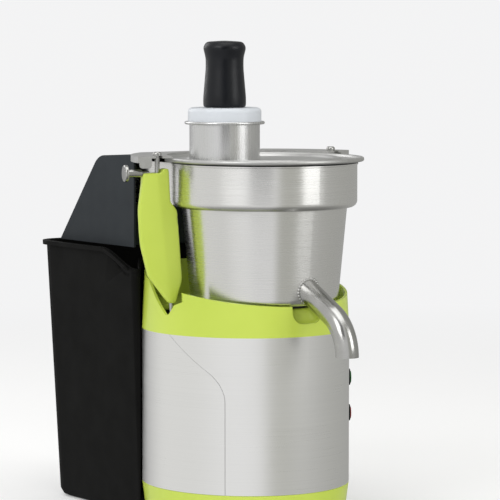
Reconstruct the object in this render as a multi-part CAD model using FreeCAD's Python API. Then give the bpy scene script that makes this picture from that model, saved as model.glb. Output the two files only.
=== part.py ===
import FreeCAD, Part
import math
import os

# Centrifugal juicer. Millimetres. The spindle is the Z axis, the table is z = 0,
# the spout points along +X and the pulp bin stands behind, along -X.

V = FreeCAD.Vector
ORIGIN = V(0, 0, 0)
UP = V(0, 0, 1)

# Clearances
RUN_FIT = 0.05
SLIDE_FIT = 0.6
SEAT_FIT = 0.3
SEAM_GAP = 0.4

# Stand and casing
FOOT_HEIGHT = 8.0
FOOT_RADIUS = 14.0
FOOT_INSET = 40.0
BASE_HEIGHT = 37.0
BASE_TAPER = 5.0
BASE_WALL = 4.0
BASE_PLATE = 3.0
VENT_COUNT = 7
VENT_LENGTH = 60.0
VENT_WIDTH = 5.0
VENT_PITCH = 12.0
SCREW_RADIUS = 4.0
SCREW_HEAD = 2.0
CASING_BACK = 40.0
CASING_HALF_LENGTH = 130.0
CASING_HALF_WIDTH = 122.0
CASING_HEIGHT = 184.0
CASING_WALL = 1.5
SEAM_FROM_FRONT = 42.0
SEAM_RUN_BACK = 70.0
SEAM_BEND_DROP = 54.0
SEAM_BEND_RADIUS = 45.0

# Collar and deck
COLLAR_WALL = 3.0
COLLAR_TAPER = 4.4
COLLAR_RISE = 78.0
COLLAR_FRONT = 34.5
COLLAR_REAR = 74.8
LEDGE_WIDTH = 6.0
LEDGE_HEIGHT = 4.0
DECK_RISE = 25.0
DECK_THICK = 6.0
NOTCH_HALF_ANGLE = 50.0
NOTCH_ROUND = 6.0
NOTCH_SHIFT = 9.0
NOTCH_STEP = 10.0
NOTCH_STEP_RISE = 15.0
NOTCH_SHOULDER = 19.0
NOTCH_SHOULDER_RISE = 8.0
SPOUT_NOTCH_HALF = 21.0
SPOUT_NOTCH_DEPTH = 20.0
SPOUT_NOTCH_ROUND = 14.0

# Bowl
SEAT_HEIGHT = 4.0
SEAT_RADIUS = 70.0
SEAT_WIDTH = 15.0
BOWL_LOW_RADIUS = 87.5
BOWL_CORNER = 8.0
CONE_TOP_RADIUS = 98.0
CONE_HEIGHT = 112.0
BAND_STEP = 12.0
BAND_HEIGHT = 52.0
BAND_CORNER = 8.0
BOWL_WALL = 1.5
BOWL_LIP = 1.0
BOSS_BORE = 14.0
BOSS_HEIGHT = 32.0
DUCT_INSET = 15.0
DUCT_BEHIND_LID = 28.0
FLANGE_WIDTH = 7.7
FLANGE_THICK = 2.0

# Spout
SPOUT_RADIUS = 13.5
SPOUT_WALL = 1.5
SPOUT_ROOT_RISE = 13.0
SPOUT_SLOPE = 27.0
SPOUT_REACH = 76.0
SPOUT_BEND = 52.0

# Lid and feed tube
SEAL_HEIGHT = 2.0
SEAL_WIDTH = 6.0
LID_OVERHANG = 8.0
LID_PLATE = 2.0
LID_BEAD = 5.0
LID_RING_RADIUS = 90.0
LID_RING_WIDTH = 8.0
LID_RING_RISE = 2.4
WING_BEYOND_STUD = 26.0
WING_EDGE = 2.5
WING_RISE = 2.5
WING_OVER_CHUTE = 8.0
EAR_FRONT = 9.0
EAR_LIP_WIDTH = 17.0
EAR_LIP_DROP = 6.5
EAR_LIP_THICK = 2.0
EAR_LIP_ROUND = 3.5
EAR_SLOT_WIDTH = 8.0
FEED_OFFSET = 57.0
FEED_BORE = 39.75
FEED_WALL = 1.5
FEED_ABOVE = 43.0
FEED_FLANGE = 5.75
FEED_FLANGE_THICK = 3.5

# Plunger
PUSHER_DEPTH = 60.0
CAP_OVERHANG = 3.25
CAP_HEIGHT = 16.0
CAP_ROUND = 5.0
GRIP_BASE_RADIUS = 25.1
GRIP_WAIST_RADIUS = 22.2
GRIP_TOP_RADIUS = 25.3
GRIP_CROWN = 8.0
GRIP_HEIGHT = 78.0

# Latches
LATCH_AZIMUTH = 107.0
LATCH_WALL_GAP = 8.5
PIVOT_DROP = 8.0
PIN_RADIUS = 4.0
PIN_HEAD = 1.5
PIN_HEAD_RADIUS = 5.5
EYE_RADIUS = 7.0
EYE_WIDTH = 8.0
ROD_RADIUS = 3.0
ROD_IN_LEVER = 38.0
BRACKET_THICK = 6.0
BRACKET_HALF = 14.0
BRACKET_HEIGHT = 20.0
BRACKET_GAP = 1.0
LEVER_TIP_RISE = 18.0
LEVER_BAND_GAP = 7.3
LEVER_CONE_GAP = 11.0
LEVER_LOW_GAP = 15.0
LEVER_TOP_GAP = 7.0
LEVER_TOP_STEP = 5.0
LEVER_BULGE = 23.5
LEVER_FLAT = 19.0
LEVER_RIDGE = 9.5
LEVER_RIDGE_LOW = 5.0
LEVER_EDGE = 3.2
STUD_OUT = 14.0
STUD_RADIUS = 3.0
STUD_HEAD_RADIUS = 5.3
STUD_HEAD = 4.4
STUD_LIFT = 0.5
STUD_IN_LEVER = 16.0
PULL_RADIUS = 4.6
PULL_LENGTH = 17.0
PULL_STEM_RADIUS = 2.5
PULL_STEM_LENGTH = 9.0
PULL_HEAD_RADIUS = 10.0
PULL_HEAD = 4.5
PULL_UNDER_LIP = 1.4

# Pulp chute and bin
CHUTE_WALL = 2.5
CHUTE_TOP_FALL = 3.0
CHUTE_TOP_LENGTH = 80.0
CHUTE_REACH = 170.0
CHUTE_CORNER = 30.0
CHUTE_BOTTOM_GAP = 2.0
BIN_HEIGHT = 322.0
BIN_GAP = 2.0
BIN_LENGTH = 151.0
BIN_HALF_WIDTH = 120.0
BIN_DRAFT = 12.0
BIN_WALL = 2.5
BIN_FLOOR = 3.0
BIN_CORNER = 30.0
BIN_NOSE = 100.0
BIN_NOSE_ROUND = 8.0
BIN_FOOT_ROUND = 10.0
BIN_LIP = 5.0
BIN_DIP = 28.0
BIN_DIP_START = 165.0
BIN_DIP_RUN = 45.0
BIN_DIP_ROUND = 18.0

# Motor and drive
SHAFT_RADIUS = 7.0
MOTOR_RADIUS = 66.0
MOTOR_WALL = 6.0
MOTOR_LENGTH = 130.0
MOTOR_DROP = 34.0
BELL_THICK = 10.0
BEARING_RADIUS = 16.0
STATOR_LENGTH = 80.0
ROTOR_RADIUS = 42.0
AIR_GAP = 0.8
STANDOFF_RADIUS = 5.0
STANDOFF_CIRCLE = 50.0
FAN_RADIUS = 52.0
FAN_BLADES = 9
FAN_HEIGHT = 12.0
FAN_GAP = 4.0
HUB_RADIUS = 20.0
HUB_FLANGE_RADIUS = 34.0
HUB_FLANGE_THICK = 6.0
HUB_WALL = 3.2
HUB_FLOOR_GAP = 6.5
BASKET_BELOW_STEP = 8.0
BASKET_DEPTH = 44.0
BASKET_LOW_RADIUS = 76.0
BASKET_RIM_GAP = 5.0
BASKET_WALL = 1.5
BASKET_RIM_WIDTH = 2.0
DISC_THICK = 2.0
DISC_INSET = 2.0
NUT_RADIUS = 14.0
NUT_HEIGHT = 12.0
TUBE_OVER_SHELF = 2.5

# Electrical pieces
CAPACITOR_RADIUS = 20.0
CAPACITOR_HEIGHT = 70.0
MODULE_SIZE = (40.0, 50.0, 90.0)
INTERLOCK_SIZE = (20.0, 10.0, 18.0)
PIECE_SPACING = 10.0
BUTTON_AZIMUTH = 60.0
BUTTON_RADIUS = 7.0
BUTTON_PROUD = 3.0
BUTTON_TRAVEL = 3.0
BUTTON_LENGTH = 12.0
BUTTON_DROPS = (61.0, 104.0)
BEZEL_RADIUS = 10.0
BEZEL_PROUD = 2.0
BEZEL_WALL = 1.6
SWITCH_DEPTH = 16.0
SWITCH_WIDTH = 22.0
GLAND_AZIMUTH = 95.0
GLAND_RADIUS = 9.0
GLAND_BORE = 4.0
GLAND_LENGTH = 14.0
GLAND_FLANGE = 12.0
GLAND_FLANGE_THICK = 3.0

# Heights that follow from the stack of pieces
BASE_Z = FOOT_HEIGHT
CASING_Z = BASE_Z + BASE_HEIGHT
COLLAR_Z = CASING_Z + CASING_HEIGHT
DECK_Z = COLLAR_Z + DECK_RISE
DECK_TOP = DECK_Z + DECK_THICK
BOWL_Z = DECK_TOP + SEAT_HEIGHT
STEP_Z = BOWL_Z + CONE_HEIGHT
BAND_TOP = STEP_Z + BAND_HEIGHT
LID_Z = BAND_TOP + SEAL_HEIGHT
LID_TOP = LID_Z + LID_BEAD
WING_TOP = LID_TOP + WING_RISE
FEED_TOP = LID_TOP + FEED_ABOVE
CAP_TOP = FEED_TOP + CAP_HEIGHT
PIVOT_Z = DECK_Z - PIVOT_DROP
BASKET_TOP = STEP_Z - BASKET_BELOW_STEP
BASKET_Z = BASKET_TOP - BASKET_DEPTH
FEED_BOTTOM = STEP_Z + BOWL_WALL + TUBE_OVER_SHELF
MOTOR_TOP = DECK_Z - MOTOR_DROP
MOTOR_BOTTOM = MOTOR_TOP - MOTOR_LENGTH
PLATE_TOP = BASE_Z + BASE_PLATE

# Radii and lengths that follow from neighbouring pieces
CASING_FRONT = CASING_HALF_LENGTH - CASING_BACK
CASING_REAR = CASING_HALF_LENGTH + CASING_BACK
FAR = CASING_REAR + CASING_HALF_WIDTH
BAND_RADIUS = CONE_TOP_RADIUS + BAND_STEP
LID_RADIUS = BAND_RADIUS + LID_OVERHANG
STUD_R = LID_RADIUS + STUD_OUT
WING_RADIUS = STUD_R + WING_BEYOND_STUD
LIP_BOTTOM = LID_Z - EAR_LIP_DROP
FEED_OUTER = FEED_BORE + FEED_WALL
DUCT_HALF = BAND_RADIUS - DUCT_INSET
CHUTE_INNER_HALF = DUCT_HALF + FLANGE_WIDTH + SEAT_FIT
CHUTE_HALF = CHUTE_INNER_HALF + CHUTE_WALL
CHUTE_FRONT = math.sqrt(WING_RADIUS ** 2 - CHUTE_INNER_HALF ** 2) + BIN_GAP
DUCT_END = CHUTE_FRONT + DUCT_BEHIND_LID
CHUTE_TOP = WING_TOP - WING_EDGE - SEAT_FIT
CHUTE_BOTTOM = BIN_HEIGHT + CHUTE_BOTTOM_GAP
CHUTE_SLOPE = CHUTE_TOP_FALL / CHUTE_TOP_LENGTH
FLANGE_TOP = CHUTE_TOP - CHUTE_WALL - CHUTE_SLOPE * DUCT_BEHIND_LID - 2 * SEAT_FIT
BIN_FRONT = CASING_REAR + BIN_GAP
BIN_REAR = BIN_FRONT + BIN_LENGTH


def flat_point(x, z):
    return V(x, 0, z)


def corner_arc(before, corner, after, radius):
    """Start, middle and end of the arc that rounds a corner."""
    first = (before - corner).normalize()
    second = (after - corner).normalize()
    half = first.getAngle(second) / 2
    reach = radius / math.tan(half)
    inward = (first + second).normalize()
    middle = corner + inward * (radius / math.sin(half) - radius)
    return corner + first * reach, middle, corner + second * reach


def rounded_wire(corners):
    """Closed wire through (point, radius) corners, each rounded to its radius."""
    points = [point for point, radius in corners]
    arcs = []
    for index, (point, radius) in enumerate(corners):
        if radius:
            after = points[(index + 1) % len(points)]
            arcs.append(corner_arc(points[index - 1], point, after, radius))
        else:
            arcs.append((point, None, point))
    edges = []
    for index, (start, middle, end) in enumerate(arcs):
        leave = arcs[index - 1][2]
        if (start - leave).Length > 1e-6:
            edges.append(Part.LineSegment(leave, start).toShape())
        if middle is not None:
            edges.append(Part.Arc(start, middle, end).toShape())
    return Part.Wire(Part.__sortEdges__(edges))


def turned(corners):
    """Solid of revolution about Z from (radius, height, rounding) corners."""
    wire = rounded_wire([(flat_point(r, z), rounding) for r, z, rounding in corners])
    return Part.Face(wire).revolve(ORIGIN, UP, 360)


def sharp(*points):
    return [(r, z, 0) for r, z in points]


def tube(outer, inner, low, high):
    return turned(sharp((inner, low), (outer, low), (outer, high), (inner, high)))


def rod(radius, low, high):
    return Part.makeCylinder(radius, high - low, V(0, 0, low))


def block(low, high):
    size = high - low
    return Part.makeBox(size.x, size.y, size.z, low)


def side_prism(corners, half):
    """Prism across Y of an outline in the XZ plane."""
    face = Part.Face(rounded_wire([(V(x, -half, z), rounding) for x, z, rounding in corners]))
    return face.extrude(V(0, 2 * half, 0))


def front_prism(corners, start, end):
    """Prism along X of an outline in the YZ plane."""
    face = Part.Face(rounded_wire([(V(start, y, z), rounding) for y, z, rounding in corners]))
    return face.extrude(V(end - start, 0, 0))


def moved(shape, x, y, z=0):
    copy = shape.copy()
    copy.translate(V(x, y, z))
    return copy


def spun(shape, degrees):
    copy = shape.copy()
    copy.rotate(ORIGIN, UP, degrees)
    return copy


def mirrored(shape):
    return shape.mirror(ORIGIN, V(0, 1, 0))


def both_sides(shape):
    return [shape, mirrored(shape)]


def at_latch(shape):
    """Carries a shape from its own radial frame to the right-hand latch."""
    return spun(shape, -LATCH_AZIMUTH)


def radial_rod(radius, start, end, z):
    return Part.makeCylinder(radius, end - start, V(start, 0, z), V(1, 0, 0))


def oval_wire(inset, z):
    """Plan of the casing, drawn in by an inset."""
    long_half = CASING_HALF_LENGTH - inset
    wide_half = CASING_HALF_WIDTH - inset
    centre = V(-CASING_BACK, 0, z)
    along = V(long_half, 0, 0)
    across = V(0, wide_half, 0)
    if long_half >= wide_half:
        ellipse = Part.Ellipse(centre + along, centre + across, centre)
    else:
        ellipse = Part.Ellipse(centre + across, centre - along, centre)
    return Part.Wire(ellipse.toShape())


def oval(inset, low, high):
    return Part.Face(oval_wire(inset, low)).extrude(V(0, 0, high - low))


def oval_loft(low_inset, low, high_inset, high):
    return Part.makeLoft([oval_wire(low_inset, low), oval_wire(high_inset, high)], True, True)


def collar_inset(z):
    return COLLAR_TAPER * (z - COLLAR_Z) / COLLAR_RISE


def casing_point(azimuth, z, inset=0.0):
    """Place on the casing's plan where its outward normal has an azimuth."""
    normal = V(math.cos(math.radians(azimuth)), math.sin(math.radians(azimuth)), 0)
    long_half = CASING_HALF_LENGTH - inset
    wide_half = CASING_HALF_WIDTH - inset
    scale = math.hypot(long_half * normal.x, wide_half * normal.y)
    return V(long_half ** 2 * normal.x / scale - CASING_BACK, wide_half ** 2 * normal.y / scale, z)


def on_casing(shape, azimuth, place):
    """Carries a shape whose X axis points outwards to a place on the casing."""
    copy = spun(shape, azimuth)
    copy.translate(place)
    return copy


# The latch's pivot stands inside the collar's wall
WALL_AT_LATCH = (CASING_HALF_WIDTH - COLLAR_WALL - collar_inset(PIVOT_Z)) / math.sin(
    math.radians(LATCH_AZIMUTH))
PIVOT_R = WALL_AT_LATCH - LATCH_WALL_GAP
EYE_INNER = PIVOT_R - EYE_WIDTH / 2
EYE_OUTER = PIVOT_R + EYE_WIDTH / 2
BRACKET_OUTER = EYE_INNER - BRACKET_GAP
PULL_Z = LIP_BOTTOM - PULL_UNDER_LIP - PULL_RADIUS
LEVER_TOP = LID_Z - LEVER_TOP_GAP
LEVER_SHOULDER = LEVER_TOP - LEVER_TOP_STEP
LEVER_TIP_Z = PIVOT_Z + LEVER_TIP_RISE
LEVER_FLAT_R = STUD_R + LEVER_FLAT
STUD_HEAD_Z = WING_TOP + STUD_LIFT


def feet():
    long_half = CASING_HALF_LENGTH - FOOT_INSET
    wide_half = CASING_HALF_WIDTH - FOOT_INSET
    pad = turned([(0, 0, 0), (FOOT_RADIUS, 0, 2), (FOOT_RADIUS - 2, FOOT_HEIGHT, 0), (0, FOOT_HEIGHT, 0)])
    places = []
    for angle in (45, 135, 225, 315):
        x = long_half * math.cos(math.radians(angle)) - CASING_BACK
        y = wide_half * math.sin(math.radians(angle))
        places.append(moved(pad, x, y))
    return places


def gland_frame(shape):
    height = BASE_Z + BASE_HEIGHT / 2
    inset = BASE_TAPER / 2 + BASE_WALL
    return on_casing(shape, GLAND_AZIMUTH, casing_point(GLAND_AZIMUTH, height, inset))


def base_ring():
    outer = oval_loft(BASE_TAPER, BASE_Z, 0, CASING_Z)
    inner = oval_loft(BASE_TAPER + BASE_WALL, BASE_Z, BASE_WALL, CASING_Z)
    hole = gland_frame(radial_rod(GLAND_RADIUS + RUN_FIT, -GLAND_LENGTH, GLAND_LENGTH, 0))
    return outer.cut(inner).cut(hole)


def base_plate():
    plate = oval(BASE_TAPER + BASE_WALL + SEAT_FIT, BASE_Z, PLATE_TOP)
    slots = []
    for index in range(VENT_COUNT):
        y = (index - (VENT_COUNT - 1) / 2) * VENT_PITCH
        low = V(-CASING_BACK - VENT_LENGTH / 2, y - VENT_WIDTH / 2, BASE_Z)
        slots.append(block(low, low + V(VENT_LENGTH, VENT_WIDTH, BASE_PLATE)))
    return plate.cut(slots)


def base_screws():
    inset = BASE_TAPER + BASE_WALL + 2 * SCREW_RADIUS
    head = rod(SCREW_RADIUS, BASE_Z - SCREW_HEAD, BASE_Z)
    screws = []
    for azimuth in (0, 90, 180, 270):
        place = casing_point(azimuth, 0, inset)
        screws.append(moved(head, place.x, place.y))
    return screws


def seam_prism(gap):
    """Space in front of the casing's seam, set forward by a gap."""
    x = CASING_FRONT - SEAM_FROM_FRONT + gap
    bend = COLLAR_Z - SEAM_BEND_DROP
    beyond = SEAM_RUN_BACK + SEAM_BEND_DROP
    steep = SEAM_RUN_BACK / SEAM_BEND_DROP
    top = COLLAR_Z + SEAM_RUN_BACK
    corners = [
        (x, BASE_Z, 0),
        (x, bend, SEAM_BEND_RADIUS),
        (x - steep * (top - bend), top, 0),
        (CASING_FRONT + beyond, top, 0),
        (CASING_FRONT + beyond, BASE_Z, 0),
    ]
    return side_prism(corners, FAR)


def button_holes():
    sleeve = radial_rod(BUTTON_RADIUS + SEAT_FIT + BEZEL_WALL + RUN_FIT, -SWITCH_DEPTH, SWITCH_DEPTH, 0)
    return [button_frame(sleeve, drop) for drop in BUTTON_DROPS]


def button_frame(shape, drop):
    return on_casing(shape, BUTTON_AZIMUTH, casing_point(BUTTON_AZIMUTH, COLLAR_Z - drop))


def casings():
    ring = oval(0, CASING_Z, COLLAR_Z).cut(oval(CASING_WALL, CASING_Z, COLLAR_Z))
    front = ring.common(seam_prism(SEAM_GAP / 2))
    rear = ring.cut(seam_prism(-SEAM_GAP / 2)).cut(button_holes())
    return front, rear


def notch():
    """Lopsided V that lets a latch lean forward through the collar's wall."""
    low = PIVOT_Z + EYE_RADIUS / 3
    high = COLLAR_Z + COLLAR_RISE + NOTCH_ROUND
    back = (high - low) * math.tan(math.radians(NOTCH_HALF_ANGLE))
    step = NOTCH_SHIFT + NOTCH_STEP
    shoulder = low + NOTCH_STEP_RISE + NOTCH_SHOULDER_RISE
    corners = [
        (NOTCH_SHIFT, low, NOTCH_ROUND),
        (step, low + NOTCH_STEP_RISE, NOTCH_ROUND / 2),
        (step + NOTCH_SHOULDER, shoulder, NOTCH_ROUND),
        (step + 2 * NOTCH_SHOULDER, high, 0),
        (NOTCH_SHIFT - back, high, 0),
    ]
    return at_latch(front_prism(corners, BRACKET_OUTER, WING_RADIUS))


def latch_bay(start, low, high):
    """Room for a latch's eye and bracket inside the collar."""
    half = 2 * BRACKET_HALF
    return at_latch(block(V(start, -half, low), V(WING_RADIUS, half, high)))


def collar_top_cut():
    slope = (COLLAR_REAR - COLLAR_FRONT) / (2 * CASING_HALF_LENGTH)
    front = COLLAR_Z + COLLAR_FRONT - slope * COLLAR_RISE
    rear = COLLAR_Z + COLLAR_REAR + slope * COLLAR_RISE
    high = COLLAR_Z + 2 * COLLAR_RISE
    x_front = CASING_FRONT + COLLAR_RISE
    x_rear = -CASING_REAR - COLLAR_RISE
    corners = [(x_front, front, 0), (x_front, high, 0), (x_rear, high, 0), (x_rear, rear, 0)]
    return side_prism(corners, FAR)


def spout_notch():
    low = COLLAR_Z + COLLAR_FRONT - SPOUT_NOTCH_DEPTH
    high = COLLAR_Z + COLLAR_RISE
    half = SPOUT_NOTCH_HALF
    corners = [
        (-half, low, SPOUT_NOTCH_ROUND),
        (half, low, SPOUT_NOTCH_ROUND),
        (half, high, 0),
        (-half, high, 0),
    ]
    return front_prism(corners, CASING_FRONT - COLLAR_RISE, CASING_FRONT + COLLAR_RISE)


def collar():
    top = COLLAR_Z + COLLAR_RISE
    outer = oval_loft(0, COLLAR_Z, COLLAR_TAPER, top)
    inner = oval_loft(COLLAR_WALL, COLLAR_Z, COLLAR_TAPER + COLLAR_WALL, top)
    shell = outer.cut(inner)
    ledge_low = DECK_Z - LEDGE_HEIGHT
    ledge_inset = collar_inset(DECK_Z) + COLLAR_WALL
    ledge = oval(ledge_inset - COLLAR_WALL / 2, ledge_low, DECK_Z)
    ledge = ledge.cut(oval(ledge_inset + LEDGE_WIDTH, ledge_low, DECK_Z))
    bracket_inner = BRACKET_OUTER - 2 * BRACKET_THICK
    for bay in both_sides(latch_bay(bracket_inner, ledge_low, DECK_Z)):
        ledge = ledge.cut(bay)
    ring = shell.fuse(ledge).removeSplitter()
    return ring.cut([collar_top_cut(), spout_notch()] + both_sides(notch()))


def deck():
    inset = collar_inset(DECK_TOP) + COLLAR_WALL + SEAT_FIT
    plate = oval(inset, DECK_Z, DECK_TOP).cut(rod(BOSS_BORE, DECK_Z, DECK_TOP))
    return plate.cut(both_sides(latch_bay(BRACKET_OUTER, DECK_Z, DECK_TOP)))


def bowl_seat():
    return tube(SEAT_RADIUS, SEAT_RADIUS - SEAT_WIDTH, DECK_TOP, BOWL_Z)


def bowl_cavity():
    low = BOWL_LOW_RADIUS - BOWL_WALL
    high = CONE_TOP_RADIUS - BOWL_WALL
    return turned(sharp((0, BOWL_Z), (low, BOWL_Z), (high, STEP_Z), (0, STEP_Z)))


def spout_path(start_x):
    root = V(CONE_TOP_RADIUS, 0, BOWL_Z + SPOUT_ROOT_RISE)
    slope = math.radians(SPOUT_SLOPE)
    ahead = V(math.cos(slope), 0, -math.sin(slope))
    end_x = BOWL_LOW_RADIUS + SPOUT_REACH
    run = (end_x - SPOUT_BEND * (1 - math.sin(slope)) - root.x) / ahead.x
    bend = root + ahead * run
    centre = bend - V(math.sin(slope), 0, math.cos(slope)) * SPOUT_BEND
    half_turn = (math.radians(90) - slope) / 2
    middle = centre + V(math.sin(slope + half_turn), 0, math.cos(slope + half_turn)) * SPOUT_BEND
    end = centre + V(SPOUT_BEND, 0, 0)
    start = root + ahead * ((start_x - root.x) / ahead.x)
    line = Part.LineSegment(start, bend).toShape()
    return Part.Wire([line, Part.Arc(bend, middle, end).toShape()]), start, ahead


def spout_solid(radius):
    path, start, ahead = spout_path(BOWL_LOW_RADIUS / 2)
    ring = Part.Wire(Part.Circle(start, ahead, radius).toShape())
    return path.makePipe(Part.Face(ring))


def spout():
    pipe = spout_solid(SPOUT_RADIUS).cut(spout_solid(SPOUT_RADIUS - SPOUT_WALL))
    return pipe.cut(bowl_cavity())


def bowl():
    inner_low = BOWL_LOW_RADIUS - BOWL_WALL
    inner_high = CONE_TOP_RADIUS - BOWL_WALL
    inner_band = BAND_RADIUS - BOWL_WALL
    floor = BOWL_Z + BOWL_WALL
    shelf = STEP_Z + BOWL_WALL
    profile = [
        (BOSS_BORE, BOWL_Z, 0),
        (BOWL_LOW_RADIUS, BOWL_Z, BOWL_CORNER),
        (CONE_TOP_RADIUS, STEP_Z, 0),
        (BAND_RADIUS, STEP_Z, BAND_CORNER),
        (BAND_RADIUS, BAND_TOP - 2 * BOWL_LIP, 0),
        (BAND_RADIUS + BOWL_LIP, BAND_TOP - BOWL_WALL, 0),
        (BAND_RADIUS + BOWL_LIP, BAND_TOP, 0),
        (inner_band, BAND_TOP, 0),
        (inner_band, shelf, BAND_CORNER - BOWL_WALL),
        (inner_high, shelf, 0),
        (inner_low, floor, BOWL_CORNER - BOWL_WALL),
        (BOSS_BORE + BOWL_WALL, floor, 0),
        (BOSS_BORE + BOWL_WALL, BOWL_Z + BOSS_HEIGHT, 0),
        (BOSS_BORE, BOWL_Z + BOSS_HEIGHT, 0),
    ]
    shell = turned(profile)
    inner_half = DUCT_HALF - BOWL_WALL
    near = -DUCT_HALF / 2
    outer = block(V(-DUCT_END, -DUCT_HALF, STEP_Z), V(near, DUCT_HALF, BAND_TOP))
    outer = outer.cut(rod(inner_band, STEP_Z, BAND_TOP))
    inner = block(V(-DUCT_END - FAR, -inner_half, shelf), V(near, inner_half, LID_TOP))
    flange_low = V(-DUCT_END, -DUCT_HALF - FLANGE_WIDTH, STEP_Z)
    flange_high = V(-DUCT_END + FLANGE_THICK, -inner_half, FLANGE_TOP)
    flange = block(flange_low, flange_high)
    duct = shell.fuse([outer] + both_sides(flange)).cut(inner)
    return duct.cut(spout_solid(SPOUT_RADIUS + RUN_FIT)).removeSplitter()


def shaft_seal():
    return tube(BOSS_BORE, SHAFT_RADIUS + RUN_FIT, BOWL_Z + BOSS_HEIGHT / 2, BOWL_Z + BOSS_HEIGHT)


def ear_lip():
    """Turned-down lip at the front end of one side of the lid's rear wing."""
    thick = EAR_LIP_THICK
    start = WING_RADIUS - EAR_LIP_WIDTH
    corners = [
        (start, LIP_BOTTOM, EAR_LIP_ROUND),
        (WING_RADIUS - WING_EDGE, LIP_BOTTOM, EAR_LIP_ROUND),
        (WING_RADIUS - WING_EDGE, WING_TOP - WING_EDGE, 0),
        (start, WING_TOP - WING_EDGE, 0),
    ]
    return at_latch(moved(side_prism(corners, thick / 2), 0, EAR_FRONT - thick / 2))


def ear_slot():
    """Open slot in the wing that the latch's stud slides out of."""
    half = EAR_SLOT_WIDTH / 2
    low = LID_Z - LID_BEAD
    end = rod(half, low, LID_TOP + LID_BEAD)
    way = block(V(-half, 0, low), V(half, 2 * EAR_FRONT, LID_TOP + LID_BEAD))
    return at_latch(moved(end.fuse(way), STUD_R, 0))


def lid_wing():
    """Rear wing of the lid, which covers the pulp outlet and carries the ears."""
    top = tube(WING_RADIUS, LID_RADIUS - WING_EDGE, WING_TOP - WING_EDGE, WING_TOP)
    riser = tube(LID_RADIUS, LID_RADIUS - WING_EDGE, LID_Z, WING_TOP)
    edge = tube(WING_RADIUS, WING_RADIUS - WING_EDGE, LID_Z, WING_TOP)
    ahead = both_sides(at_latch(block(V(-FAR, EAR_FRONT, LID_Z), V(FAR, FAR, WING_TOP))))
    over_chute = block(V(-FAR, -FAR, LID_Z), V(-CHUTE_FRONT - WING_OVER_CHUTE, FAR, WING_TOP))
    before_chute = block(V(-FAR, -FAR, LID_Z), V(-CHUTE_FRONT + BIN_GAP, FAR, WING_TOP))
    return top.cut(over_chute).fuse([riser, edge.cut(before_chute)]).cut(ahead)


def lid():
    plate = LID_Z + LID_PLATE
    ring_top = plate + LID_RING_RISE
    ring_in = LID_RING_RADIUS - LID_RING_WIDTH
    bead_in = LID_RADIUS - LID_BEAD
    profile = [
        (0, LID_Z, 0),
        (LID_RADIUS, LID_Z, LID_BEAD * 0.4),
        (LID_RADIUS, LID_TOP, LID_BEAD * 0.45),
        (bead_in, LID_TOP, LID_BEAD * 0.3),
        (bead_in - LID_PLATE, plate, 0),
        (LID_RING_RADIUS + LID_RING_RISE, plate, 0),
        (LID_RING_RADIUS, ring_top, 0),
        (ring_in, ring_top, 0),
        (ring_in - LID_RING_RISE, plate, 0),
        (0, plate, 0),
    ]
    whole = turned(profile).fuse([lid_wing()] + both_sides(ear_lip()))
    feed_hole = moved(rod(FEED_OUTER + RUN_FIT, LID_Z - LID_BEAD, LID_TOP + LID_BEAD), 0, -FEED_OFFSET)
    return whole.cut(both_sides(ear_slot()) + [feed_hole]).removeSplitter()


def lid_seal():
    return tube(BAND_RADIUS, BAND_RADIUS - SEAL_WIDTH, BAND_TOP, LID_Z)


def feed_tube():
    flange = FEED_TOP - FEED_FLANGE_THICK
    edge = FEED_FLANGE_THICK * 0.45
    profile = [
        (FEED_BORE, FEED_BOTTOM, 0),
        (FEED_OUTER, FEED_BOTTOM, 0),
        (FEED_OUTER, flange, 0),
        (FEED_OUTER + FEED_FLANGE, flange, edge),
        (FEED_OUTER + FEED_FLANGE, FEED_TOP, edge),
        (FEED_BORE, FEED_TOP, 0),
    ]
    return moved(turned(profile), 0, -FEED_OFFSET)


def plunger_head():
    bottom = FEED_TOP - PUSHER_DEPTH
    pusher = FEED_BORE - SLIDE_FIT
    profile = [
        (0, bottom, 0),
        (pusher, bottom, CAP_ROUND / 2),
        (pusher, FEED_TOP, 0),
        (FEED_BORE + CAP_OVERHANG, FEED_TOP, 0),
        (FEED_BORE + CAP_OVERHANG, CAP_TOP, CAP_ROUND),
        (0, CAP_TOP, 0),
    ]
    return moved(turned(profile), 0, -FEED_OFFSET)


def plunger_grip():
    top = CAP_TOP + GRIP_HEIGHT
    profile = [
        (0, CAP_TOP, 0),
        (GRIP_BASE_RADIUS, CAP_TOP, 0),
        (GRIP_BASE_RADIUS, CAP_TOP + 0.15 * GRIP_HEIGHT, GRIP_HEIGHT / 2),
        (GRIP_WAIST_RADIUS, CAP_TOP + 0.58 * GRIP_HEIGHT, GRIP_HEIGHT / 2),
        (GRIP_WAIST_RADIUS, CAP_TOP + 0.74 * GRIP_HEIGHT, GRIP_HEIGHT / 4),
        (GRIP_TOP_RADIUS, top - GRIP_CROWN, GRIP_CROWN / 3),
        (0.85 * GRIP_TOP_RADIUS, top - GRIP_CROWN / 6, GRIP_CROWN / 2),
        (0, top, 0),
    ]
    return moved(turned(profile), 0, -FEED_OFFSET)


def latch_bracket():
    low = DECK_Z - BRACKET_HEIGHT
    plate = block(V(BRACKET_OUTER - BRACKET_THICK, -BRACKET_HALF, low), V(BRACKET_OUTER, BRACKET_HALF, DECK_Z))
    hole = radial_rod(PIN_RADIUS, BRACKET_OUTER - BRACKET_THICK, BRACKET_OUTER, PIVOT_Z)
    return at_latch(plate.cut(hole))


def latch_pin():
    head_start = EYE_OUTER + SEAT_FIT
    pin = radial_rod(PIN_RADIUS, BRACKET_OUTER - BRACKET_THICK, head_start, PIVOT_Z)
    head = radial_rod(PIN_HEAD_RADIUS, head_start, head_start + PIN_HEAD, PIVOT_Z)
    return at_latch(pin.fuse(head).removeSplitter())


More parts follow.
